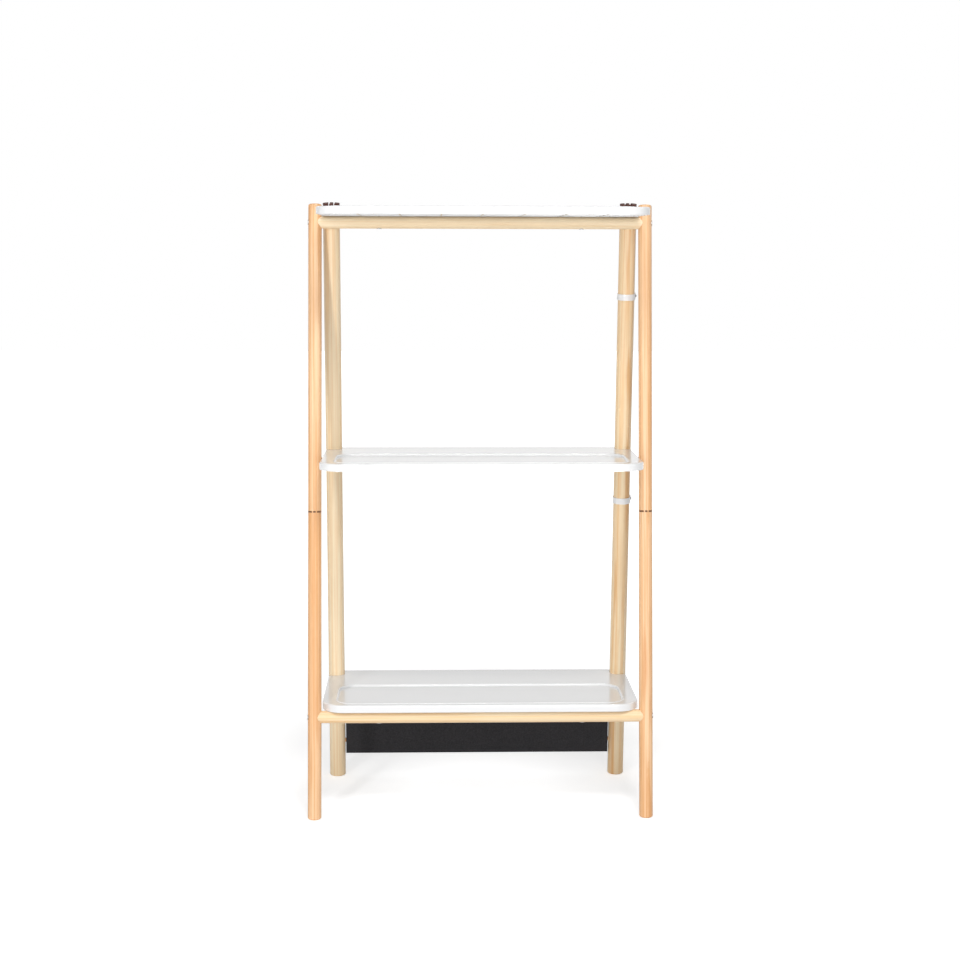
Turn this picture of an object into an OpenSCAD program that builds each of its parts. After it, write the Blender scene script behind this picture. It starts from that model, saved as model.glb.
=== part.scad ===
// Three-tier plant stand: two front legs and two thicker rear legs lean towards
// each other, two crossbars tie the front legs, and three moulded trays hang on
// the rear legs and rest on the crossbars. Millimetres, Z up, front faces -Y,
// origin on the floor under the middle of the stand's box.

/* [Trays] */
// Width of a tray, side to side
tray_w = 562; // [480:1:700]
// Depth of a tray, front to back
tray_d = 260; // [230:1:300]
// Height of a tray's skirt
tray_h = 13; // [12:0.5:20]
// Plan radius of a tray's corners
tray_corner_r = 40; // [30:1:46]
// Wall of the skirt
tray_wall = 2.5; // [2:0.1:3.5]
// Thickness of the tray's floor
tray_floor = 3; // [2.5:0.1:4]
// Rounding along the tray's upper edge
tray_edge_r = 3; // [2:0.1:3.5]
// Depth of the sunk panel in the floor
panel_depth = 3; // [1.5:0.1:3.5]
// Front-to-back size of the sunk panel
panel_d = 130; // [90:1:150]
// Flat land between the panel and the front edge
panel_front_land = 14; // [9:1:20]
// Flat land between the panel and each side
panel_side_land = 27; // [18:1:45]
// Plan radius of the panel's corners
panel_corner_r = 30; // [15:1:36]
// Thickness of the ribs under a tray
rib_t = 2; // [1.5:0.1:3]
// Number of ribs that run front to back
rib_count = 7; // [3:2:11]
// Number of ribs that run side to side
cross_rib_count = 3; // [1:1:4]
// Wall round a screw or a pin in a tray's boss
boss_wall = 2.8; // [2:0.1:4]
// Solid end behind a blind hole in a tray's boss
boss_end = 4; // [2:0.5:6]
// Height of the lowest tray's rim above the floor
first_tray_h = 202.5; // [160:0.5:280]
// Height from the lowest tray to the middle one
lower_spacing = 434; // [360:0.5:480]
// Height from the middle tray to the top one
upper_spacing = 437; // [360:0.5:480]

/* [Legs] */
// Diameter of the front legs
front_leg_d = 24; // [22:1:30]
// Diameter of the rear legs
rear_leg_d = 30; // [26:1:34]
// Angle at which the rear legs lean forward
rear_lean = 6.75; // [6:0.25:8.5]
// Distance from a tray's back edge to the rear legs' centre line
leg_inset = 27; // [23:1:32]
// How far the leg tops stand above the top tray's rim
leg_rise = 8; // [2:1:20]
// Rounding of the front legs' tops
leg_round = 3.5; // [1:0.1:4.5]
// Radius of the arc that rounds a foot
foot_round = 5; // [3:0.5:7]

/* [Crossbars] */
// Diameter of the crossbars
crossbar_d = 22; // [20:1:28]
// Distance from the lowest tray's front edge back to the lower crossbar's centre
crossbar_inset = 16; // [8:0.5:20]
// Sideways distance from the middle to the screws that hold a tray to a crossbar
tray_screw_x = 180; // [120:1:210]

/* [Couplings] */
// Radius of the core of a coupling ring
core_r = 7.5; // [6.5:0.1:8.5]
// Height of the teeth that show round a front leg's joint
tooth_h = 3; // [2:0.1:5]
// Half angle of a narrow tooth, in degrees
narrow_half = 10; // [7:1:12]
// Half angle of a wide tooth, in degrees
wide_half = 22.5; // [18:0.5:24]
// Diameter of the threaded stud in a front leg's joint
stud_d = 8; // [6:1:9]
// Length of the stud
stud_len = 60; // [40:2:90]
// Height of the disc under the teeth of a leg crown
crown_base_h = 2.5; // [2:0.5:5]
// Height of a leg crown's teeth
crown_tooth_h = 8; // [4:0.5:10]
// Wall of a leg crown's teeth
crown_wall = 5; // [3:0.5:7]
// Width of a leg crown's narrow teeth
crown_narrow = 6; // [5:0.5:8]
// Width of the slots between a leg crown's teeth
crown_slot = 2.8; // [2:0.1:3.5]
// Radius of the spigot under a leg crown
spigot_r = 6; // [4:0.5:8]
// Length of the spigot under a leg crown
spigot_h = 5; // [3:0.5:5.5]

/* [Fasteners] */
// Diameter of the crossbar bolts
bolt_d = 6; // [5:0.5:7]
// Diameter of a crossbar bolt's head
bolt_head_d = 10; // [9:0.5:12]
// Height of a crossbar bolt's head
bolt_head_h = 3; // [2.5:0.1:4]
// How far a crossbar bolt reaches into the crossbar
bolt_grip = 40; // [25:1:60]
// Diameter of the wood screws
screw_d = 5; // [4:0.5:5.5]
// Diameter of a wood screw's head
screw_head_d = 9; // [8:0.5:11]
// Height of a wood screw's head
screw_head_h = 2.7; // [2:0.1:3.5]
// How far a tray screw reaches into the tray's boss
tray_screw_grip = 14; // [10:1:16]
// Diameter of the pins between the front legs and the middle tray
pin_d = 8; // [6:0.5:8]
// Length of a middle tray pin on each side of the joint
pin_reach = 13; // [9:1:16]

/* [Back board] */
// Height of the back board's lower edge, along the rear legs
board_low = 46; // [30:1:70]
// Height of the back board
board_h = 98; // [70:1:110]
// Thickness of the back board
board_t = 12; // [10:1:14]
// Gap between the board's ends and the rear legs
board_gap = 1.5; // [0.5:0.1:2]
// Diameter of the board's dowels
dowel_d = 8; // [6:1:8]
// Reach of a dowel into the board and into the leg
dowel_reach = 14; // [10:1:18]

/* [Clips] */
// Height of the upper clip ring over the middle tray, along the right rear leg
upper_clip_rise = 283; // [60:1:320]
// Height of the lower clip ring over the lowest tray, along the right rear leg
lower_clip_rise = 339.5; // [60:0.5:360]
// Height of a clip ring
clip_h = 11; // [8:0.5:14]
// Wall of a clip ring
clip_wall = 1.2; // [1:0.1:3]
// Width of the split in a clip ring
clip_split = 3; // [2:0.5:5]
// Length of the ears beside the split
clip_ear = 6; // [5:0.5:9]
// Direction of the split, from the right towards the back, in degrees
clip_turn = 40; // [30:1:90]

/* [Clearances] */
// Gap between a tray's side and a front leg
side_gap = 0.5; // [0.3:0.1:1]
// Gap between curved faces that seat on each other
seat_gap = 0.3; // [0.2:0.05:0.5]
// Gap round a bolt, screw, stud, pin or spigot in its hole
hole_gap = 0.2; // [0.1:0.05:0.4]

/* [Hidden] */
$fn = 96;

pine = "#efc68f";
pale_pine = "#f3d9ab";
gloss_white = "#f4f4f4";
dark_brown = "#4a2a22";
steel = "#a9abad";
board_black = "#2b2b2e";

left = -1;
right = 1;

front_r = front_leg_d / 2;
rear_r = rear_leg_d / 2;
bar_r = crossbar_d / 2;
rear_x = tray_w / 2 - rear_r;
front_x = tray_w / 2 + side_gap + front_r;

// Rim heights of the three trays, lowest first
rim_h = [
    first_tray_h,
    first_tray_h + lower_spacing,
    first_tray_h + lower_spacing + upper_spacing
];
leg_top_h = rim_h[2] + leg_rise;
low_bar_h = rim_h[0] - tray_h - seat_gap - bar_r;
high_bar_h = rim_h[2] - tray_h - seat_gap - bar_r;

// The rear legs' centre line, and the front legs' line through both crossbars
function rear_leg_y(height) = rear_foot_y - height * tan(rear_lean);
function tray_front_y(level) = rear_leg_y(rim_h[level]) + leg_inset - tray_d;
tray_reach = tray_d - leg_inset;
// A foot's arc leaves the floor at one angle and meets the leg's side at another
foot_land = 70;
foot_meet = 25;
foot_h = foot_round * (sin(foot_land) - sin(foot_meet));
foot_back = rear_r / cos(rear_lean) - foot_h * tan(rear_lean);
rear_foot_y = (rim_h[2] * tan(rear_lean) + tray_reach - foot_back) / 2;
apex_reach = bar_r + rear_r + seat_gap;
low_bar_y = tray_front_y(0) + crossbar_inset;
high_bar_y = rear_leg_y(high_bar_h) - apex_reach / cos(rear_lean);
front_slope = (high_bar_y - low_bar_y) / (high_bar_h - low_bar_h);
front_lean = atan(front_slope);
front_foot_y = low_bar_y - low_bar_h * front_slope;
function front_leg_y(height) = front_foot_y + height * front_slope;

front_len = leg_top_h / cos(front_lean);
joint_at = front_len / 2;
rear_len = rim_h[2] / cos(rear_lean);
apex_screw_grip = seat_gap + bar_r - bolt_d / 2 - hole_gap - 0.8;
apex_at = -(high_bar_y - rear_foot_y) * sin(rear_lean) + high_bar_h * cos(rear_lean);

// Places inside a tray, measured from its front edge
leg_screw_h = 5;
pin_h = tray_h / 2;
pin_y = front_leg_y(rim_h[1] - tray_h + pin_h) - tray_front_y(1);
high_bar_in_tray = high_bar_y - tray_front_y(2);
boss_r = screw_d / 2 + boss_wall;
spot_depth = 2.4;
lap = 0.5;
cut_over = 1;

// A wooden rod along Z from one end to the other
module rod(r, from, to) {
    translate([0, 0, from])
        cylinder(r = r, h = to - from);
}

// A disc with its edge rounded, its face at zero and its body above
module rounded_end(r) {
    cylinder(r = r - leg_round, h = leg_round);
    rotate_extrude()
        intersection() {
            translate([r - leg_round, leg_round])
                circle(leg_round);
            square([r, leg_round]);
        }
}

// Places its children on a leg's own line, with Z along the leg from the floor
module on_front_leg(side) {
    translate([side * front_x, front_foot_y, 0])
        rotate([-front_lean, 0, 0])
            children();
}

module on_rear_leg(side) {
    translate([side * rear_x, rear_foot_y, 0])
        rotate([rear_lean, 0, 0])
            children();
}

// What is cut from a leaning leg to leave a level foot with a rounded edge
module foot_cut(x, y, r) {
    core = r - foot_round * cos(foot_meet);
    translate([x, y, 0])
        rotate_extrude()
            difference() {
                translate([core, -cut_over])
                    square([foot_round + cut_over, foot_h + 2 * cut_over]);
                translate([core, foot_round * sin(foot_land)])
                    circle(foot_round);
            }
    translate([x - 2 * r, y - 2 * r, -4 * r])
        cube(4 * r);
}

// A cylinder along X, from the middle of the stand outwards on one side
module side_rod(side, r, from, to, y, z) {
    translate([side * from, y, z])
        rotate([0, side * 90, 0])
            cylinder(r = r, h = to - from);
}

// The eight slots that part a ring's teeth: four narrow teeth, one of them to the
// front, and four wide ones between them
module tooth_gaps(inner_r, outer_r, h, trim = 0) {
    from = narrow_half + trim;
    to = 45 - wide_half - trim;
    reach = outer_r * 1.2;
    difference() {
        for (quarter = [0:3], hand = [left, right])
            rotate([0, 0, quarter * 90])
                linear_extrude(h)
                    polygon([
                        [0, 0],
                        [hand * reach * sin(from), -reach * cos(from)],
                        [hand * reach * sin(to), -reach * cos(to)]
                    ]);
        translate([0, 0, -cut_over])
            cylinder(r = inner_r, h = h + 2 * cut_over);
    }
}

// Front legs: two rods end to end, with a toothed ring let into the lower one

module stud_hole() {
    translate([0, 0, joint_at - stud_len / 2 - cut_over])
        cylinder(r = stud_d / 2 + hole_gap, h = stud_len + 2 * cut_over);
}

module bar_bolt_hole(side, y, z) {
    side_rod(side, bolt_d / 2 + hole_gap, front_x - front_r - cut_over,
        front_x + front_r + cut_over, y, z);
    side_rod(side, bolt_head_d / 2 + hole_gap, front_x + front_r - spot_depth,
        front_x + front_r + cut_over, y, z);
}

module front_leg_lower(side) {
    color(pine)
        difference() {
            on_front_leg(side)
                rod(front_r, -front_r, joint_at);
            foot_cut(side * front_x, front_leg_y(foot_h), front_r / cos(front_lean));
            on_front_leg(side) {
                translate([0, 0, joint_at - tooth_h])
                    difference() {
                        cylinder(r = front_r + cut_over, h = tooth_h + cut_over);
                        translate([0, 0, -cut_over])
                            tooth_gaps(core_r + hole_gap, front_r + cut_over,
                                tooth_h + 3 * cut_over, 1);
                    }
                stud_hole();
            }
            bar_bolt_hole(side, low_bar_y, low_bar_h);
        }
}

module front_leg_upper(side) {
    color(pine)
        difference() {
            on_front_leg(side) {
                rod(front_r, joint_at, front_len - leg_round);
                translate([0, 0, front_len])
                    mirror([0, 0, 1])
                        rounded_end(front_r);
            }
            on_front_leg(side)
                stud_hole();
            bar_bolt_hole(side, high_bar_y, high_bar_h);
            side_rod(side, pin_d / 2 + hole_gap, front_x - front_r - cut_over,
                tray_w / 2 + side_gap + pin_reach + hole_gap,
                tray_front_y(1) + pin_y, rim_h[1] - tray_h + pin_h);
        }
}

module coupling_ring(side) {
    color(dark_brown)
        on_front_leg(side)
            translate([0, 0, joint_at - tooth_h])
                difference() {
                    cylinder(r = front_r, h = tooth_h);
                    translate([0, 0, -cut_over])
                        tooth_gaps(core_r, front_r, tooth_h + 2 * cut_over);
                    translate([0, 0, -cut_over])
                        cylinder(r = stud_d / 2 + hole_gap, h = tooth_h + 2 * cut_over);
                }
}

module coupling_stud(side) {
    color(steel)
        on_front_leg(side)
            translate([0, 0, joint_at - stud_len / 2])
                cylinder(r = stud_d / 2, h = stud_len);
}

// Rear legs, each one rod with its foot cut level and a toothed crown on top

module leg_screw_hole(side, level) {
    z = rim_h[level] - tray_h + leg_screw_h;
    side_rod(side, screw_d / 2 + hole_gap, rear_x - rear_r - cut_over,
        rear_x + rear_r + cut_over, rear_leg_y(z), z);
    side_rod(side, screw_head_d / 2 + hole_gap, rear_x + rear_r - spot_depth,
        rear_x + rear_r + cut_over, rear_leg_y(z), z);
}

module rear_leg(side) {
    color(pale_pine)
        difference() {
            on_rear_leg(side)
                rod(rear_r, -rear_r, rear_len);
            foot_cut(side * rear_x, rear_leg_y(foot_h), rear_r / cos(rear_lean));
            on_rear_leg(side) {
                translate([0, 0, rear_len - spigot_h - hole_gap])
                    cylinder(r = spigot_r + hole_gap, h = spigot_h + cut_over);
                translate([0, rear_r + cut_over, apex_at])
                    rotate([90, 0, 0])
                        cylinder(r = screw_d / 2 + hole_gap, h = rear_leg_d + 2 * cut_over);
                translate([0, rear_r + cut_over, apex_at])
                    rotate([90, 0, 0])
                        cylinder(r = screw_head_d / 2 + hole_gap, h = spot_depth + cut_over);
                for (dowel_at = board_dowels)
                    translate([-side * (rear_r + cut_over), 0, dowel_at])
                        rotate([0, side * 90, 0])
                            cylinder(r = dowel_d / 2 + hole_gap,
                                h = dowel_reach + cut_over);
            }
            for (level = [0:2])
                leg_screw_hole(side, level);
        }
}

// Straight slots across the crown, two each way, so that light shows through it
module crown_slots() {
    reach = rear_r + cut_over;
    for (turn = [0, 90], hand = [left, right])
        rotate([0, 0, turn])
            translate([hand * (crown_narrow + crown_slot) / 2 - crown_slot / 2, -reach, 0])
                cube([crown_slot, 2 * reach, crown_tooth_h + cut_over]);
}

module leg_crown(side) {
    color(dark_brown)
        on_rear_leg(side)
            translate([0, 0, rear_len]) {
                difference() {
                    cylinder(r = rear_r, h = crown_base_h + crown_tooth_h);
                    translate([0, 0, crown_base_h])
                        crown_slots();
                    translate([0, 0, crown_base_h])
                        cylinder(r = rear_r - crown_wall, h = crown_tooth_h + cut_over);
                }
                translate([0, 0, -spigot_h])
                    cylinder(r = spigot_r, h = spigot_h + cut_over);
            }
}

// Crossbars, each rounded out at its ends to sit against the front legs

module crossbar(y, z) {
    difference() {
        translate([-front_x, y, z])
            rotate([0, 90, 0])
                cylinder(r = bar_r, h = 2 * front_x);
        for (side = [left, right]) {
            on_front_leg(side)
                rod(front_r + seat_gap, 0, front_len);
            side_rod(side, bolt_d / 2 + hole_gap, front_x - front_r - bolt_grip - cut_over,
                front_x, y, z);
        }
        for (side = [left, right])
            translate([side * tray_screw_x, y, z]) {
                translate([0, 0, -bar_r - cut_over])
                    cylinder(r = screw_d / 2 + hole_gap, h = 2 * (bar_r + cut_over));
                translate([0, 0, -bar_r - cut_over])
                    cylinder(r = screw_head_d / 2 + hole_gap, h = spot_depth + cut_over);
            }
    }
}

module crossbar_top() {
    color(pale_pine)
        difference() {
            crossbar(high_bar_y, high_bar_h);
            for (side = [left, right])
                on_rear_leg(side)
                    translate([0, -rear_r, apex_at])
                        rotate([90, 0, 0])
                            cylinder(r = screw_d / 2 + hole_gap, h = apex_screw_grip);
        }
}

module crossbar_bottom() {
    color(pale_pine)
        crossbar(low_bar_y, low_bar_h);
}

// Trays: a skirt with a rounded edge, a floor with a sunk panel, ribs and bosses

// A plate with round corners, its front edge on the X axis
module round_plate(w, d, r, h) {
    linear_extrude(h) {
        translate([-w / 2 + r, 0])
            square([w - 2 * r, d]);
        translate([-w / 2, r])
            square([w, d - 2 * r]);
        for (x = [-w / 2 + r, w / 2 - r], y = [r, d - r])
            translate([x, y])
                circle(r);
    }
}

// Sweeps a flat profile round such a plate's edge; x = r lies on that edge
module sweep_edge(w, d, r) {
    corners = [[w / 2 - r, d - r], [-w / 2 + r, d - r], [-w / 2 + r, r], [w / 2 - r, r]];
    runs = [d - 2 * r, w - 2 * r, d - 2 * r, w - 2 * r];
    for (turn = [0:3])
        translate([corners[turn][0], corners[turn][1], 0])
            rotate([0, 0, turn * 90]) {
                rotate_extrude(angle = 90)
                    children();
                rotate([90, 0, 0])
                    linear_extrude(runs[turn])
                        children();
            }
}

module skirt_profile() {
    translate([tray_corner_r - tray_wall, 0])
        square([tray_wall, tray_h - tray_edge_r]);
    translate([tray_corner_r - tray_edge_r, tray_h - tray_edge_r])
        circle(tray_edge_r);
    translate([tray_corner_r - 2 * tray_edge_r, tray_h - tray_floor])
        square([tray_edge_r, tray_floor]);
}

panel_w = tray_w - 2 * panel_side_land;
panel_soft = 2.6;

// The sunk panel's hollow, with its upper edge rounded; the arc is wider than the
// corner it rounds, so that it meets both faces at an angle
module panel_hollow() {
    translate([0, panel_front_land, 0]) {
        translate([0, 0, tray_h - panel_depth])
            round_plate(panel_w, panel_d, panel_corner_r, panel_depth + cut_over);
        sweep_edge(panel_w, panel_d, panel_corner_r)
            difference() {
                translate([panel_corner_r - panel_soft, tray_h - panel_soft])
                    square([2 * panel_soft, panel_soft + lap]);
                translate([panel_corner_r + panel_soft, tray_h - panel_soft])
                    circle(panel_soft * 1.1);
            }
    }
}

module tray_ribs() {
    top = tray_h - tray_floor + lap;
    span = tray_w - 2 * (tray_corner_r + rear_leg_d);
    for (n = [0:rib_count - 1])
        translate([-span / 2 + n * span / (rib_count - 1) - rib_t / 2, tray_wall - lap, 0])
            cube([rib_t, tray_d - 2 * (tray_wall - lap), top]);
    for (n = [1:cross_rib_count])
        translate([-tray_w / 2 + tray_wall - lap, n * tray_d / (cross_rib_count + 1), 0])
            cube([tray_w - 2 * (tray_wall - lap), rib_t, top]);
}

module bar_boss(x, y) {
    translate([x, y, 0])
        cylinder(r = boss_r, h = tray_h - tray_floor + lap);
}

module tray_body() {
    difference() {
        union() {
            sweep_edge(tray_w, tray_d, tray_corner_r)
                skirt_profile();
            translate([0, tray_edge_r, tray_h - tray_floor])
                round_plate(tray_w - 2 * tray_edge_r, tray_d - 2 * tray_edge_r,
                    tray_corner_r - tray_edge_r, tray_floor);
            translate([0, panel_front_land - tray_wall, tray_h - panel_depth - tray_floor])
                round_plate(panel_w + 2 * tray_wall, panel_d + 2 * tray_wall,
                    panel_corner_r + tray_wall, tray_floor + lap);
            tray_ribs();
            for (side = [left, right]) {
                bar_boss(side * tray_screw_x, crossbar_inset);
                bar_boss(side * tray_screw_x, high_bar_in_tray);
                pin_boss(side);
                leg_boss(side);
            }
        }
        panel_hollow();
        for (side = [left, right]) {
            for (y = [crossbar_inset, high_bar_in_tray])
                translate([side * tray_screw_x, y, -cut_over])
                    cylinder(r = screw_d / 2 + hole_gap, h = bar_screw_grip + cut_over);
            side_rod(side, pin_d / 2 + hole_gap, tray_w / 2 - pin_reach - hole_gap,
                tray_w / 2 + cut_over, pin_y, pin_h);
        }
    }
}

bar_screw_grip = tray_h - panel_depth - tray_floor - lap;

// The block behind the skirt that takes a middle tray pin
module pin_boss(side) {
    reach = pin_reach + boss_end;
    width = pin_d + 2 * boss_wall;
    translate([side > 0 ? tray_w / 2 - 1 - reach : 1 - tray_w / 2, pin_y - width / 2, 0])
        cube([reach, width, tray_h - 1]);
}

// The block that wraps a rear leg and takes its screw
module leg_boss(side) {
    inner = rear_x - rear_r - tray_screw_grip - boss_end;
    width = rear_leg_d - 2 * boss_wall;
    length = tray_w / 2 - rear_r - inner;
    translate([side > 0 ? inner : -inner - length, tray_reach - width / 2, 0])
        cube([length, width, tray_h - 1]);
}

module tray(level) {
    color(gloss_white)
        difference() {
            translate([0, tray_front_y(level), rim_h[level] - tray_h])
                tray_body();
            for (side = [left, right]) {
                on_rear_leg(side)
                    leg_notch(side, rim_h[level] / cos(rear_lean));
                z = rim_h[level] - tray_h + leg_screw_h;
                side_rod(side, screw_d / 2 + hole_gap,
                    rear_x - rear_r - tray_screw_grip - 1, rear_x, rear_leg_y(z), z);
            }
        }
}

// The round-ended slot that a rear leg sits in, open to the tray's side
module leg_notch(side, at) {
    r = rear_r + seat_gap;
    deep = 3 * tray_h;
    translate([0, 0, at - deep])
        cylinder(r = r, h = 2 * deep);
    translate([side > 0 ? 0 : -rear_leg_d, -r, at - deep])
        cube([rear_leg_d, 2 * r, 2 * deep]);
}

// Fasteners

module headed_screw(d, head_d, head_h, shank) {
    translate([0, 0, -head_h])
        difference() {
            cylinder(r = head_d / 2, h = head_h);
            translate([0, 0, -cut_over])
                cylinder(r = head_d / 4, h = head_h / 2 + cut_over, $fn = 6);
        }
    translate([0, 0, -lap])
        cylinder(r = d / 2, h = shank + lap);
}

module crossbar_bolts(side) {
    seat = front_x + front_r - spot_depth;
    color(steel)
        for (bar = [[low_bar_y, low_bar_h], [high_bar_y, high_bar_h]])
            translate([side * seat, bar[0], bar[1]])
                rotate([0, -side * 90, 0])
                    headed_screw(bolt_d, bolt_head_d, bolt_head_h,
                        front_leg_d - spot_depth + bolt_grip);
}

module tray_leg_screws(level) {
    z = rim_h[level] - tray_h + leg_screw_h;
    seat = rear_x + rear_r - spot_depth;
    color(steel)
        for (side = [left, right])
            translate([side * seat, rear_leg_y(z), z])
                rotate([0, -side * 90, 0])
                    headed_screw(screw_d, screw_head_d, screw_head_h,
                        rear_leg_d - spot_depth + seat_gap + tray_screw_grip);
}

module tray_bar_screws(y, z) {
    color(steel)
        for (side = [left, right])
            translate([side * tray_screw_x, y, z - bar_r + spot_depth])
                headed_screw(screw_d, screw_head_d, screw_head_h,
                    crossbar_d - spot_depth + seat_gap + bar_screw_grip - lap);
}

module apex_screws() {
    color(steel)
        for (side = [left, right])
            on_rear_leg(side)
                translate([0, rear_r - spot_depth, apex_at])
                    rotate([90, 0, 0])
                        headed_screw(screw_d, screw_head_d, screw_head_h,
                            rear_leg_d - spot_depth + apex_screw_grip - 2 * hole_gap);
}

module tray_middle_pins() {
    color(steel)
        for (side = [left, right])
            side_rod(side, pin_d / 2, tray_w / 2 - pin_reach,
                tray_w / 2 + side_gap + pin_reach,
                tray_front_y(1) + pin_y, rim_h[1] - tray_h + pin_h);
}

// Back board between the rear legs, in their leaning plane

board_half = rear_x - rear_r - board_gap;
board_dowels = [board_low + board_h * 0.25, board_low + board_h * 0.75];

module in_rear_plane() {
    translate([0, rear_foot_y, 0])
        rotate([rear_lean, 0, 0])
            children();
}

module back_board() {
    color(board_black)
        in_rear_plane()
            difference() {
                translate([-board_half, -board_t / 2, board_low])
                    cube([2 * board_half, board_t, board_h]);
                for (side = [left, right], at = board_dowels)
                    translate([side * (board_half + cut_over), 0, at])
                        rotate([0, -side * 90, 0])
                            cylinder(r = dowel_d / 2 + hole_gap,
                                h = dowel_reach + hole_gap + cut_over);
            }
}

module back_board_dowels() {
    color(pine)
        in_rear_plane()
            for (side = [left, right], at = board_dowels)
                translate([side * (board_half - dowel_reach), 0, at])
                    rotate([0, side * 90, 0])
                        cylinder(r = dowel_d / 2,
                            h = 2 * dowel_reach + board_gap - hole_gap);
}

// Split clip rings that slide on the right rear leg, each with its pinch screw

upper_clip_at = rim_h[1] / cos(rear_lean) + upper_clip_rise;
lower_clip_at = rim_h[0] / cos(rear_lean) + lower_clip_rise;
clip_r = rear_r + seat_gap;
ear_t = 1.8;
pinch_d = 3;
pinch_at = clip_r + clip_ear * 0.6;

module clip_ring(at) {
    color(gloss_white)
        on_rear_leg(right)
            translate([0, 0, at - clip_h / 2])
                rotate([0, 0, clip_turn])
                    difference() {
                        union() {
                            cylinder(r = clip_r + clip_wall, h = clip_h);
                            translate([clip_r, -clip_split / 2 - ear_t, 0])
                                cube([clip_ear, clip_split + 2 * ear_t, clip_h]);
                        }
                        translate([0, 0, -cut_over])
                            cylinder(r = clip_r, h = clip_h + 2 * cut_over);
                        translate([0, -clip_split / 2, -cut_over])
                            cube([clip_r + clip_ear + cut_over, clip_split,
                                clip_h + 2 * cut_over]);
                        translate([pinch_at, clip_r, clip_h / 2])
                            rotate([90, 0, 0])
                                cylinder(r = pinch_d / 2 + hole_gap, h = 2 * clip_r);
                    }
}

module clip_screw(at) {
    reach = clip_split / 2 + ear_t;
    color(steel)
        on_rear_leg(right)
            translate([0, 0, at])
                rotate([0, 0, clip_turn])
                    translate([pinch_at, -reach, 0])
                        rotate([-90, 0, 0])
                            headed_screw(pinch_d, pinch_d * 1.8, pinch_d * 0.7, 2 * reach + 1);
}

front_leg_lower(left);  // front_leg_lower_left
front_leg_lower(right);  // front_leg_lower_right
front_leg_upper(left);  // front_leg_upper_left
front_leg_upper(right);  // front_leg_upper_right
coupling_ring(left);  // coupling_ring_left
coupling_ring(right);  // coupling_ring_right
coupling_stud(left);  // coupling_stud_left
coupling_stud(right);  // coupling_stud_right
rear_leg(left);  // rear_leg_left
rear_leg(right);  // rear_leg_right
leg_crown(left);  // leg_crown_left
leg_crown(right);  // leg_crown_right
crossbar_top();
crossbar_bottom();
tray(2);  // tray_top
tray(1);  // tray_middle
tray(0);  // tray_bottom
crossbar_bolts(left);  // crossbar_bolts_left
crossbar_bolts(right);  // crossbar_bolts_right
tray_leg_screws(2);  // tray_top_leg_screws
tray_leg_screws(1);  // tray_middle_leg_screws
tray_leg_screws(0);  // tray_bottom_leg_screws
tray_middle_pins();
tray_bar_screws(high_bar_y, high_bar_h);  // tray_top_bar_screws
tray_bar_screws(low_bar_y, low_bar_h);  // tray_bottom_bar_screws
apex_screws();
back_board();
back_board_dowels();
clip_ring(upper_clip_at);  // clip_ring_upper
clip_ring(lower_clip_at);  // clip_ring_lower
clip_screw(upper_clip_at);  // clip_screw_upper
clip_screw(lower_clip_at);  // clip_screw_lower
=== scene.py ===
# %% [markdown]
# # A three-tier plant stand
#
# The stand is an A-frame: two slim front legs and two thicker rear legs lean together, and three
# glossy white trays step forward between them. This lesson dresses the measured parts with
# materials, adds the fine beads that show only up close, and lights the stand as in a white
# studio.
#
# Everything is in metres, Z is up and the stand's front faces -Y.

# %% Load the measured parts
import math

import bmesh
import bpy
from mathutils import Matrix, Vector


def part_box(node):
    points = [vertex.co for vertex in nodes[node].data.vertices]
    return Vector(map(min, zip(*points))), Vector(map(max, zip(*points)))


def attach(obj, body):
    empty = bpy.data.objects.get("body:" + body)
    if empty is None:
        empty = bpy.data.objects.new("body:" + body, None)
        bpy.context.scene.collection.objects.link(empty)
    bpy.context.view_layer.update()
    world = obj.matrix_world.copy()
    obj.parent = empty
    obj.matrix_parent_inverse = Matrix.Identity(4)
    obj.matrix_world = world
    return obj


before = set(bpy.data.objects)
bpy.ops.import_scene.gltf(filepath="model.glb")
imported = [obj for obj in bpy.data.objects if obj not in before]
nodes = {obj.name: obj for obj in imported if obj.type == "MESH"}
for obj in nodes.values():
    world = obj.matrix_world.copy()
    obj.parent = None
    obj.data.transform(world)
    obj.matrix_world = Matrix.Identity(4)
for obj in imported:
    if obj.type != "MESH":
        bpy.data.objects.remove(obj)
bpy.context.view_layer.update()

# %% [markdown]
# ## Where the legs run
#
# Wood grain follows the length of a rod, and these rods lean. The angle of each pair is measured
# from the boxes of the parts that make up one leg, so the grain stays true if the stand changes.

# %% Measure the lean of the legs
def lean_of(lowest, highest):
    """How far a leg leans from upright, in radians, from its lowest and its highest part."""
    low, low_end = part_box(lowest)
    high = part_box(highest)[1]
    thickness = low_end.x - low.x
    return math.atan2(high.y - low.y - thickness, high.z - low.z)


front_lean = lean_of("front_leg_lower_left", "front_leg_upper_left")
rear_lean = lean_of("rear_leg_right", "rear_leg_right")
print("lean of the front and rear legs:",
      round(math.degrees(front_lean), 2), round(math.degrees(rear_lean), 2))

# %% [markdown]
# ## Building a material
#
# Every material here is a small graph of nodes that ends in the Principled shader. The first
# helper hands back a function that adds a node and fills its inputs, with a number, a colour or
# the output of another node. Numbers that are the same all over a surface are set on the shader
# itself.

# %% Helpers that start and end a material
def node_adder(graph):
    """Returns a function that adds a node, with its inputs given by number or by name."""
    def add(kind, settings=None, numbered=None, **named):
        node = graph.nodes.new(kind)
        for key, value in (settings or {}).items():
            setattr(node, key, value)
        inputs = dict(numbered or {})
        inputs.update((key.replace("_", " "), value) for key, value in named.items())
        for key, value in inputs.items():
            if isinstance(value, bpy.types.NodeSocket):
                graph.links.new(value, node.inputs[key])
            else:
                node.inputs[key].default_value = value
        return node

    return add


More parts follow.
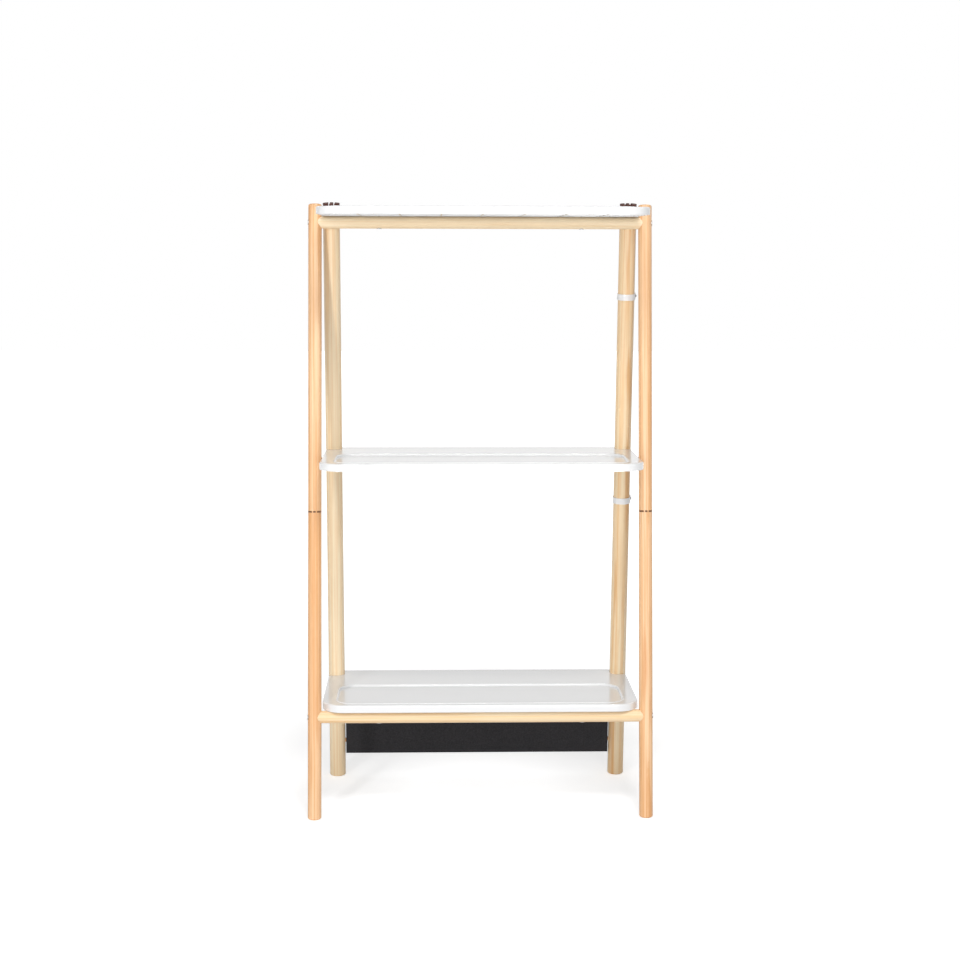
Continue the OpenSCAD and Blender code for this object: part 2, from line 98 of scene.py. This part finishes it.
def start_material(name):
    """Makes an empty material; returns it with its node adder."""
    material = bpy.data.materials.new(name)
    material.use_nodes = True
    material.node_tree.nodes.clear()
    return material, node_adder(material.node_tree)


def surface(add, **finish):
    """Ends a material with the Principled shader and the output."""
    shader = add("ShaderNodeBsdfPrincipled", **finish)
    add("ShaderNodeOutputMaterial", Surface=shader.outputs[0])

# %% [markdown]
# ## Small steps between the nodes
#
# A pattern is a grey value from 0 to 1 at each place. A ramp sharpens it or turns it into
# colours, a tint lays a colour over another one where the pattern is light, and a bump lets the
# light see it as height. All patterns read Object coordinates, so they go with the piece.

# %% Helpers for patterns
def ramp(add, pattern, stops):
    """A colour ramp fed by a pattern; stops are (place, grey or colour)."""
    node = add("ShaderNodeValToRGB", numbered={0: pattern})
    elements = node.color_ramp.elements
    while len(elements) < len(stops):
        elements.new(0.5)
    for element, (place, colour) in zip(elements, stops):
        element.position = place
        element.color = (*colour, 1) if isinstance(colour, tuple) else (colour, colour, colour, 1)
    return node.outputs[0]


def mix(add, how, factor, first, second):
    """Mixes two colours."""
    return add("ShaderNodeMix", {"data_type": "RGBA", "blend_type": how},
               {0: factor, 6: first, 7: second}).outputs[2]


def calculate(add, how, first, second):
    """A sum on two numbers, such as MULTIPLY or MAXIMUM."""
    return add("ShaderNodeMath", {"operation": how}, {0: first, 1: second}).outputs[0]


def tint(add, under, colour, pattern, strength, how="MIX"):
    """Lays a colour over another one, where the pattern is light."""
    return mix(add, how, calculate(add, "MULTIPLY", pattern, strength), under, (*colour, 1))


def object_place(add):
    return add("ShaderNodeTexCoord").outputs["Object"]


def noise(add, place, scale, detail, roughness=0.5):
    return add("ShaderNodeTexNoise", Vector=place, Scale=scale, Detail=detail,
               Roughness=roughness).outputs


def between(add, pattern, low, high):
    """Spreads a pattern from a low to a high number."""
    return add("ShaderNodeMapRange", Value=pattern, To_Min=low, To_Max=high).outputs[0]


def bump(add, height, strength, distance):
    return add("ShaderNodeBump", Strength=strength, Distance=distance, Height=height).outputs[0]

# %% [markdown]
# ## Pine: year rings
#
# The legs are turned from clear-lacquered pine. On the real rods the year rings run along the
# length as fine darker lines. A picture wrapped round the rod would show a seam, so the wood is a
# solid texture instead: rings round the middle of the tree, which lies beside the rod. Noise that
# is drawn out along the rod bends them, so that they run together and apart.
#
# A wave texture with a saw profile rises slowly through the light early wood and falls off at the
# end of the year's dark late wood. Its scale is pi / 10 for one ring in a metre.

# %% Year rings
def long_noise(add, along, across, length, detail=2.0, roughness=0.5):
    """Noise with so many cells to the metre across the rod and along its length."""
    drawn_out = add("ShaderNodeMapping", Vector=along, Scale=(across, across, length))
    return noise(add, drawn_out.outputs[0], 1.0, detail, roughness)


def year_rings(add, along, ring_gap):
    """How much late wood there is at a place; ring_gap is the width of a year in metres."""
    waver = long_noise(add, along, across=14, length=1.6, detail=3.0)["Color"]
    bent = mix(add, "LINEAR_LIGHT", 0.005, along, waver)
    rings = add("ShaderNodeTexWave",
                {"wave_type": "RINGS", "rings_direction": "Z", "wave_profile": "SAW"},
                Vector=bent, Scale=math.pi / (10 * ring_gap), Distortion=0.5, Detail=2.0,
                Detail_Scale=1.2)
    return ramp(add, rings.outputs["Fac"],
                [(0.0, 0.35), (0.2, 0.0), (0.6, 0.12), (0.9, 0.9), (1.0, 0.55)])

# %% [markdown]
# ## Pine: drift, streaks, flames, fibres and knots
#
# Between the rings the light wood drifts slowly between straw and orange, and narrow streaks run
# through it. Where the surface lies along a ring, the late wood widens to a broad brown flame. Up
# close there are long fibres, which also roughen the lacquer a little, and a pin knot now and
# then.

# %% The other marks in the wood
FLAME_SHADE = (0.86, 0.74, 0.6)
FIBRE_TINT, FIBRE_STRENGTH = (0.78, 0.62, 0.46), 0.16
KNOT_BROWN = (0.30, 0.15, 0.07)


def slow_drift(add, along):
    return ramp(add, long_noise(add, along, across=22, length=3.2)["Fac"],
                [(0.38, 0.0), (0.66, 1.0)])


def narrow_streaks(add, along):
    return ramp(add, long_noise(add, along, across=260, length=3.0, detail=3.0)["Fac"],
                [(0.44, 0.0), (0.60, 1.0)])


def brown_flames(add, along):
    return ramp(add, long_noise(add, along, across=60, length=4.5, detail=1.5)["Fac"],
                [(0.56, 0.0), (0.66, 1.0)])


def pin_knots(add, along):
    spread = add("ShaderNodeMapping", Vector=along, Scale=(22, 22, 9))
    cells = add("ShaderNodeTexVoronoi", Vector=spread.outputs[0], Scale=1.0)
    return ramp(add, cells.outputs["Distance"], [(0.02, 1.0), (0.04, 0.0)])

# %% [markdown]
# ## Pine: the whole material
#
# The marks are laid over each other, from the slow drift to the small knots. A Mapping node of
# the Texture kind first lays the rod's own length along Z and moves the middle of the tree beside
# the rod, so one recipe serves legs that lean and crossbars that lie.

# %% The pine material
def pine(name, light, dark, turn, heart, ring_gap=0.0034, lines=0.5, streaky=0.6, flames=0.25,
         drift=0.35, knots=0.0):
    """turn lays the rod's length along Z; heart is where the tree's middle lies, in metres.

    lines, streaky, flames, drift and knots say how strongly the year rings, the narrow streaks,
    the brown flames, the slow drift and the pin knots show."""
    material, add = start_material(name)
    along = add("ShaderNodeMapping", {"vector_type": "TEXTURE"}, Vector=object_place(add),
                Location=heart, Rotation=turn).outputs[0]
    fibre = long_noise(add, along, across=1100, length=12, detail=4.0, roughness=0.6)["Fac"]
    flame_brown = tuple(v * shade for v, shade in zip(dark, FLAME_SHADE))

    colour = tint(add, (*light, 1), dark, slow_drift(add, along), drift)
    colour = tint(add, colour, dark, narrow_streaks(add, along), streaky)
    colour = tint(add, colour, dark, year_rings(add, along, ring_gap), lines)
    colour = tint(add, colour, flame_brown, brown_flames(add, along), flames)
    colour = tint(add, colour, FIBRE_TINT, ramp(add, fibre, [(0.4, 0.0), (0.7, 1.0)]),
                  FIBRE_STRENGTH, "MULTIPLY")
    colour = tint(add, colour, KNOT_BROWN, pin_knots(add, along), knots)

    surface(add, Base_Color=colour, Roughness=between(add, fibre, 0.34, 0.5),
            Normal=bump(add, fibre, strength=0.1, distance=0.0004), Specular_IOR_Level=0.3,
            Coat_Weight=0.08, Coat_Roughness=0.25)
    return material

# %% [markdown]
# ## One piece of pine for each rod
#
# The front rods are warmer and darker than the crossbars and the rear legs, and the right rear
# leg shows the broadest flames. Each rod gets its own place in its own tree, so that no two look
# alike.

# %% The rods' wood
WARM = (0.94, 0.65, 0.405), (0.71, 0.34, 0.12)
PALE = (0.97, 0.83, 0.60), (0.84, 0.54, 0.26)
HONEY = (0.96, 0.81, 0.57), (0.81, 0.47, 0.19)

front_turn = (-front_lean, 0, 0)
rear_turn = (rear_lean, 0, 0)
lying_turn = (0, math.pi / 2, 0)
wood = {
    "front_leg_lower_left": pine("front leg pine, lower left", *WARM, front_turn,
                                 (-0.330, -0.155, 0), drift=0.5),
    "front_leg_upper_left": pine("front leg pine, upper left", *WARM, front_turn,
                                 (-0.262, -0.150, 0.3), lines=0.45),
    "front_leg_lower_right": pine("front leg pine, lower right", *WARM, front_turn,
                                  (0.334, -0.150, 0.7), lines=0.7, flames=0.4, drift=0.4),
    "front_leg_upper_right": pine("front leg pine, upper right", *WARM, front_turn,
                                  (0.258, -0.160, 0.9)),
    "rear_leg_left": pine("rear leg pine, left", *PALE, rear_turn,
                          (-0.228, 0.120, 0), lines=0.25, streaky=0.45, flames=0.15, drift=0.25,
                          knots=0.5),
    "rear_leg_right": pine("rear leg pine, right", *HONEY, rear_turn,
                           (0.262, 0.205, 0.4), ring_gap=0.0042, streaky=0.45, flames=0.6),
    # The top crossbar's marks are kept faint, so it is painted lighter, in place of the light that
    # the top tray above keeps off it.
    "crossbar_top": pine("crossbar pine, top, painted lighter", *PALE, lying_turn,
                         (0, -0.01, 1.015), lines=0.3, streaky=0.25, flames=0.1, drift=0.15),
    "crossbar_bottom": pine("crossbar pine, bottom", *PALE, lying_turn,
                            (0.4, -0.1, 0.145), lines=0.4, drift=0.4),
    "back_board_dowels": pine("dowel wood", *WARM, lying_turn, (0, 0.15, 0.05)),
}
print("wood materials:", len(wood))

# %% [markdown]
# ## Glossy white trays
#
# The trays are smooth and white, and so glossy that the legs are mirrored in the decks. Moulded
# sheet is never quite flat, so a slow, very shallow bump makes the reflections swim a little, and
# a finer noise breaks up the gloss where hands and pots have been.

# %% The tray material
def gloss_white(name, tone, roughness):
    material, add = start_material(name)
    place = object_place(add)
    cloud = noise(add, place, scale=14.0, detail=3.0)["Fac"]
    rubbed = noise(add, place, scale=180.0, detail=3.0, roughness=0.6)["Fac"]
    swim = noise(add, place, scale=7.0, detail=1.0)["Fac"]
    shaded = tuple(v * 0.985 for v in tone)
    surface(add, Base_Color=ramp(add, cloud, [(0.3, shaded), (0.7, tone)]),
            Roughness=between(add, rubbed, roughness - 0.03, roughness + 0.05),
            Normal=bump(add, swim, strength=0.04, distance=0.0004), IOR=1.5, Coat_Weight=0.6,
            Coat_Roughness=0.06)
    return material


tray_white = gloss_white("tray gloss white", (0.79, 0.795, 0.80), 0.2)
clip_white = gloss_white("clip white", (0.83, 0.835, 0.84), 0.32)
print("whites:", tray_white.name, "and", clip_white.name)

# %% [markdown]
# ## Dark brown fittings
#
# The toothed rings and crowns are moulded in dark brown, with the faint grain of a spark-eroded
# mould. The same noise serves as colour and as bump, and its hollows are painted darker, as
# painted shade in the grain.

# %% Moulded brown
def moulded_brown(name, low, high):
    material, add = start_material(name)
    grain_and_hollow_shade = noise(add, object_place(add), scale=900.0, detail=3.0)["Fac"]
    # The ramp paints the grain's hollows darker, as painted shade.
    surface(add, Base_Color=ramp(add, grain_and_hollow_shade, [(0.3, low), (0.7, high)]), Roughness=0.5,
            Normal=bump(add, grain_and_hollow_shade, strength=0.3, distance=0.0001), Specular_IOR_Level=0.3)
    return material


crown_brown = moulded_brown("crown brown", (0.085, 0.030, 0.022), (0.125, 0.048, 0.036))
ring_brown = moulded_brown("coupling brown", (0.125, 0.052, 0.022), (0.175, 0.078, 0.034))
print("browns:", crown_brown.name, "and", ring_brown.name)

# %% [markdown]
# ## Zinc-plated steel
#
# Zinc grows in small flat crystals, and each is a little lighter or darker. A Voronoi texture
# makes such patches, and a fine noise in the roughness stands for scratches.

# %% Zinc steel
def zinc_steel():
    material, add = start_material("zinc steel")
    place = object_place(add)
    crystals = add("ShaderNodeTexVoronoi", Vector=place, Scale=700.0).outputs["Distance"]
    scratches = noise(add, place, scale=1500.0, detail=2.0)["Fac"]
    tones = [(0.0, (0.22, 0.215, 0.21)), (0.8, (0.33, 0.325, 0.32))]
    surface(add, Base_Color=ramp(add, crystals, tones), Metallic=1.0,
            Roughness=between(add, scratches, 0.25, 0.5))
    return material


steel = zinc_steel()
print("metal:", steel.name)

# %% [markdown]
# ## The black board
#
# The board is stained black and has a short, dry nap that catches a little light. Sheen gives the
# soft edge light of such a nap, and a wide cloud keeps the black from looking painted.

# %% Black board
def black_board():
    material, add = start_material("board black")
    place = object_place(add)
    nap = noise(add, place, scale=420.0, detail=6.0, roughness=0.7)["Fac"]
    cloud = noise(add, place, scale=22.0, detail=3.0)["Fac"]
    stain = ramp(add, nap, [(0.3, (0.008, 0.0075, 0.0085)), (0.72, (0.030, 0.028, 0.032))])
    colour = mix(add, "MULTIPLY", 0.5, stain, ramp(add, cloud, [(0.3, 0.75), (0.7, 1.0)]))
    surface(add, Base_Color=colour, Roughness=0.8,
            Normal=bump(add, nap, strength=0.5, distance=0.0004), Specular_IOR_Level=0.25,
            Sheen_Weight=0.1, Sheen_Roughness=0.6)
    return material


board = black_board()
print("board:", board.name)

# %% [markdown]
# ## Dressing the measured parts
#
# Each measured part keeps its mesh and gets one material. Most are listed by name, the many small
# fasteners are known by a word in their name, and the cell stops if a part would be left bare.

# %% Give every part its material
TRAYS = ("tray_bottom", "tray_middle", "tray_top")
FASTENER_WORDS = ("screw", "bolt", "pins", "stud")
finishes = {
    **wood,
    **dict.fromkeys(TRAYS, tray_white),
    **dict.fromkeys(("clip_ring_upper", "clip_ring_lower"), clip_white),
    **dict.fromkeys(("coupling_ring_left", "coupling_ring_right"), ring_brown),
    **dict.fromkeys(("leg_crown_left", "leg_crown_right"), crown_brown),
    "back_board": board,
}


def material_for(name):
    if name in finishes:
        return finishes[name]
    if any(word in name for word in FASTENER_WORDS):
        return steel
    raise ValueError(f"no material for {name}")


for name, part in nodes.items():
    part.data.materials.clear()
    part.data.materials.append(material_for(name))
print("dressed:", len(nodes), "parts, of which", len(nodes) - len(finishes), "are fasteners")

# %% [markdown]
# ## The bead round each sunk panel
#
# Where the deck drops into its panel, the moulding has a fine rounded bead, which shows as a light
# line along the front and the back of the panel. A curve with a round bevel would do, but it would
# have to be turned into a mesh. Here a flat sheet with round corners is inset a few times, each
# time a little higher or lower. All the edges of such a sheet are boundary edges, which the inset
# leaves out unless it is told otherwise.

# %% A flat sheet with round corners
def round_sheet(shape, width, depth, radius, middle, height, steps=16):
    """Adds a flat rectangle with round corners and returns its face."""
    place = Matrix.Translation((*middle, height)) @ Matrix.Diagonal((width, depth, 1, 1))
    corners = bmesh.ops.create_grid(shape, x_segments=1, y_segments=1, size=0.5,
                                    matrix=place)["verts"]
    bmesh.ops.bevel(shape, geom=corners, offset=radius, offset_type="OFFSET", segments=steps,
                    profile=0.5, affect="VERTICES", material=-1)
    return max(shape.faces, key=lambda face: face.calc_area())

# %% [markdown]
# ## The bead's steps
#
# The steps go up the bead's outer side, which starts a little inside the deck, and over its round
# top. The same steps in turned order and with the other sign come down on the inner side. At the
# end the inner face is taken out and the two open rims are bridged, so that the bead is closed.

# %% Sweep a bead along each panel's edge
PANEL_SIDE, PANEL_LAND, PANEL_DEEP, PANEL_CORNER = 0.027, 0.014, 0.130, 0.030
BEAD_OUT, BEAD_WIDTH, BEAD_RISE, BEAD_SUNK = 0.0032, 0.0024, 0.0009, 0.0008
# Each step's share of the bead's width, and how far it rises
STEPS_UP = ((0.04, BEAD_SUNK), (0.13, 0.62 * BEAD_RISE), (0.16, 0.30 * BEAD_RISE),
            (0.17, 0.08 * BEAD_RISE))
STEPS_DOWN = tuple((share, -rise) for share, rise in reversed(STEPS_UP))


def bead_shape(low, high):
    """The bead for a tray with this box."""
    middle = ((low.x + high.x) / 2, low.y + PANEL_LAND + PANEL_DEEP / 2)
    width = high.x - low.x - 2 * PANEL_SIDE + 2 * BEAD_OUT
    shape = bmesh.new()
    sheet = round_sheet(shape, width, PANEL_DEEP + 2 * BEAD_OUT, PANEL_CORNER + BEAD_OUT, middle,
                        high.z - BEAD_SUNK)
    for share, rise in STEPS_UP + STEPS_DOWN:
        bmesh.ops.inset_region(shape, faces=[sheet], thickness=share * BEAD_WIDTH, depth=rise,
                               use_boundary=True, use_even_offset=True)
    bmesh.ops.delete(shape, geom=[sheet], context="FACES_ONLY")
    bmesh.ops.bridge_loops(shape, edges=[edge for edge in shape.edges if edge.is_boundary])
    bmesh.ops.recalc_face_normals(shape, faces=shape.faces)
    for face in shape.faces:
        face.smooth = True
    return shape


def new_object(name, shape, material):
    """Turns a finished bmesh into an object of the scene."""
    mesh = bpy.data.meshes.new(name)
    shape.to_mesh(mesh)
    shape.free()
    piece = bpy.data.objects.new(name, mesh)
    bpy.context.scene.collection.objects.link(piece)
    mesh.materials.append(material)
    return piece


for tray in TRAYS:
    bead = new_object(f"{tray}_bead", bead_shape(*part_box(tray)), tray_white)
    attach(bead, "stand")
    print(bead.name, len(bead.data.polygons), "faces")

# %% [markdown]
# ## The studio
#
# The stand is shown on white, with only a soft shadow on the floor. The floor is one wide, plain
# sheet, and the room behind it is white too. What the camera sees of the floor, straight, in gloss
# or through something clear, also glows a little, which brings it to white, while its dull part
# still takes the shadow. The lamps reach the far floor and the floor under the trays less, so
# these glow more.

# %% What only the camera sees
WHITE = (1.0, 1.0, 1.0, 1)


def seen_by_camera(add):
    """1 on the camera's rays, also by way of gloss or something clear, and 0 on all others."""
    rays = add("ShaderNodeLightPath").outputs
    straight_or_gloss = calculate(add, "MAXIMUM", rays["Is Camera Ray"], rays["Is Glossy Ray"])
    return calculate(add, "MAXIMUM", straight_or_gloss, rays["Is Transmission Ray"])

# %% Floor
FLOOR_REACH = 14
FLOOR_TONE = 0.85
GLOW_REACH = 3.0
GLOW_MIDDLE = (0, 0.11, 0)
# Metres from the middle of the glow, and how much the floor glows there
GLOW = ((0.12, 0.70), (0.30, 0.49), (0.42, 0.49), (0.60, 0.59), (3.0, 1.0))

floor_white, add = start_material("studio white")
from_middle = add("ShaderNodeMapping", Vector=object_place(add),
                  Location=tuple(-v for v in GLOW_MIDDLE)).outputs[0]
distance = add("ShaderNodeVectorMath", {"operation": "LENGTH"}, Vector=from_middle)
share = add("ShaderNodeMapRange", Value=distance.outputs["Value"], From_Max=GLOW_REACH)
glow = ramp(add, share.outputs[0], [(metres / GLOW_REACH, strength) for metres, strength in GLOW])
surface(add, Base_Color=(FLOOR_TONE, FLOOR_TONE, FLOOR_TONE, 1), Roughness=0.9,
        Specular_IOR_Level=0.0, Emission_Color=WHITE,
        Emission_Strength=calculate(add, "MULTIPLY", seen_by_camera(add), glow))

sheet = bmesh.new()
bmesh.ops.create_grid(sheet, x_segments=1, y_segments=1, size=FLOOR_REACH)
floor = new_object("studio_floor", sheet, floor_white)
print("floor:", 2 * FLOOR_REACH, "m wide")

# %% [markdown]
# ## Light
#
# Four soft boxes stand in front. The left strip is tall and narrow, so it throws a clear shadow of
# the slim left leg across the thicker one behind it; the right strip does the same, more weakly,
# from the other side. The low lamp is the only one that reaches far under the top tray, to the
# crossbar. The high one looks in over each deck, past the tray above. The rest comes from an even
# white room and from the floor, so no shadow turns black.

# %% Lamps
# Each lamp's place, what it looks at, its width and height, and its power in watts
LAMPS = {
    "left strip": ((-1.15, -2.40, 0.90), (0, 0, 0.75), 0.15, 1.8, 22),
    "right strip": ((0.55, -2.55, 0.90), (0, 0, 0.75), 0.15, 1.8, 6),
    "low front": ((0.55, -4.6, 0.55), (0, 0, 0.8), 0.45, 1.0, 29),
    "high front": ((0.15, -2.1, 3.3), (0, 0, 0.3), 1.2, 0.8, 49),
}


def soft_box(name, place, target, width, height, power):
    lamp = bpy.data.lights.new(name, "AREA")
    lamp.shape, lamp.size, lamp.size_y, lamp.energy = "RECTANGLE", width, height, power
    holder = bpy.data.objects.new(name, lamp)
    aim = Vector(target) - Vector(place)
    holder.location = place
    holder.rotation_euler = aim.to_track_quat("-Z", "Y").to_euler()
    bpy.context.scene.collection.objects.link(holder)


for name, setting in LAMPS.items():
    soft_box(name, *setting)
print("lamps:", ", ".join(LAMPS))

# %% [markdown]
# ## The room
#
# The room lights the stand evenly with a dull white. The camera sees pure white in its place,
# straight and in gloss, so the background is white without more light on the stand.

# %% Room
ROOM_LIGHT = 0.37
room = bpy.data.worlds.new("white room")
bpy.context.scene.world = room
room.use_nodes = True
room.node_tree.nodes.clear()
add = node_adder(room.node_tree)
dull = add("ShaderNodeBackground", Color=WHITE, Strength=ROOM_LIGHT)
bright = add("ShaderNodeBackground", Color=WHITE, Strength=1.0)
either = add("ShaderNodeMixShader",
             numbered={0: seen_by_camera(add), 1: dull.outputs[0], 2: bright.outputs[0]})
add("ShaderNodeOutputWorld", Surface=either.outputs[0])
print("room light:", ROOM_LIGHT)

# %% [markdown]
# ## Camera
#
# The camera stands a little to the left of the middle, just below the top tray and three metres
# off, and looks slightly down. Its numbers come from matching known corners of the stand to where
# they fall in a 960 by 960 picture.

# %% Camera
PICTURE = 960
FOCAL_PIXELS = 1729.9
MIDDLE_ROW = 405.7
CAMERA_PLACE = (-0.0888, -3.0706, 1.0022)
# In degrees: the turn to the right, the look down, and the roll
TURN, LOOK_DOWN, ROLL = -1.645, 5.166, 0.138

camera_data = bpy.data.cameras.new("camera")
camera_data.sensor_width = 36
camera_data.lens = FOCAL_PIXELS * camera_data.sensor_width / PICTURE
camera_data.shift_y = (MIDDLE_ROW - PICTURE / 2) / PICTURE
camera_data.clip_end = 60
camera = bpy.data.objects.new("camera", camera_data)
camera.location = CAMERA_PLACE
look = (Matrix.Rotation(math.radians(TURN), 4, "Z")
        @ Matrix.Rotation(math.radians(90 - LOOK_DOWN), 4, "X")
        @ Matrix.Rotation(math.radians(ROLL), 4, "Z"))
camera.rotation_euler = look.to_euler()
bpy.context.scene.collection.objects.link(camera)
bpy.context.scene.camera = camera
bpy.context.scene.view_settings.view_transform = "Standard"
print("lens:", round(camera_data.lens, 2), "mm")
